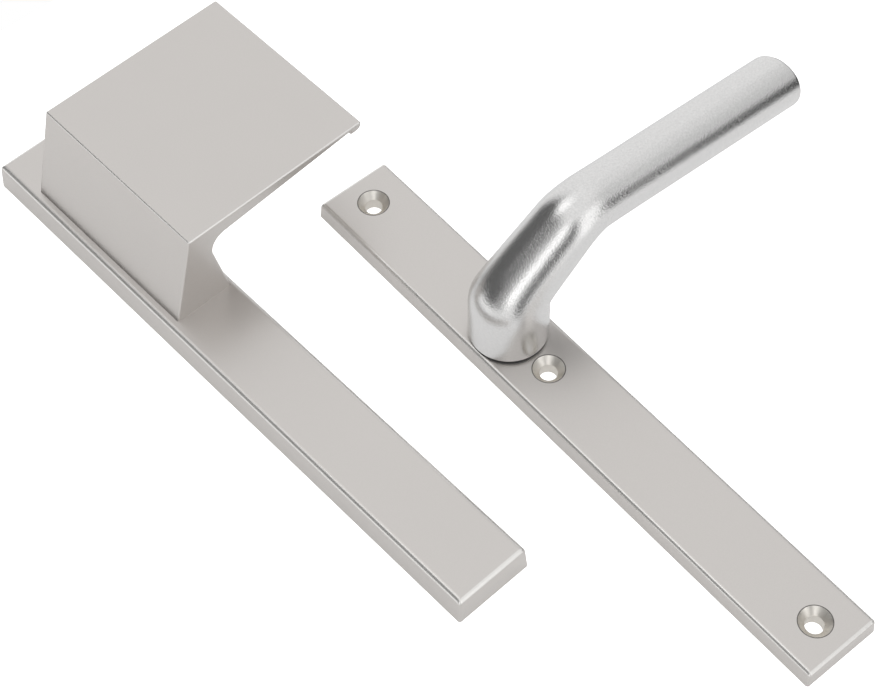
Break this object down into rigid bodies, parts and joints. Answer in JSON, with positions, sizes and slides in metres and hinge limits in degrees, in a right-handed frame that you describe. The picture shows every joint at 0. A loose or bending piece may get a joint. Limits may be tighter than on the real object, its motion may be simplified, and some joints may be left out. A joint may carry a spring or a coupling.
{
  "type": "security door handle set",
  "caption": "Door handle set for a narrow-stile security lock: outer backplate with a fixed angular grip, and inner backplate with a cranked round lever.",
  "frame": {"origin": "the lever's spindle axis at the back face of the inner plate, where the square spindle enters", "axes": "+X across the inner plate towards the end of the lever's grip, +Y along the inner plate towards its top end, +Z out of the backplate, away from the door"},
  "size_m": [0.2214, 0.3376, 0.061],
  "materials": {
    "plate_silver": "fine satin, warm silver",
    "lever_aluminium": "satin, fine blasted grain",
    "black_plastic": "matte",
    "hardened_steel": "ground, dark",
    "zinc_steel": "zinc plated",
    "spring_steel": "oiled black"
  },
  "bodies": {
    "set": {"outer_plate": "plate_silver", "fixed_grip": "plate_silver", "armour_plate": "hardened_steel", "armour_screw_near": "zinc_steel", "armour_screw_far": "zinc_steel", "screw_post_far": "zinc_steel", "screw_post_mid": "zinc_steel", "screw_post_near": "zinc_steel", "grip_screw_near": "zinc_steel", "grip_screw_far": "zinc_steel", "lock_washer_near": "zinc_steel", "lock_washer_far": "zinc_steel", "grip_dowel_near": "hardened_steel", "grip_dowel_far": "hardened_steel", "inner_plate": "plate_silver", "lever_ring": "black_plastic", "thrust_washer": "zinc_steel"},
    "lever": {"lever_handle": "lever_aluminium", "disc_spring": "spring_steel", "retaining_clip": "spring_steel"}
  },
  "joints": [
    {"name": "lever_turn", "type": "hinge", "parent": "set", "child": "lever", "pos_m": [0, 0, 0], "axis": [0, 0, 1], "range_deg": [-45, 45]}
  ]
}
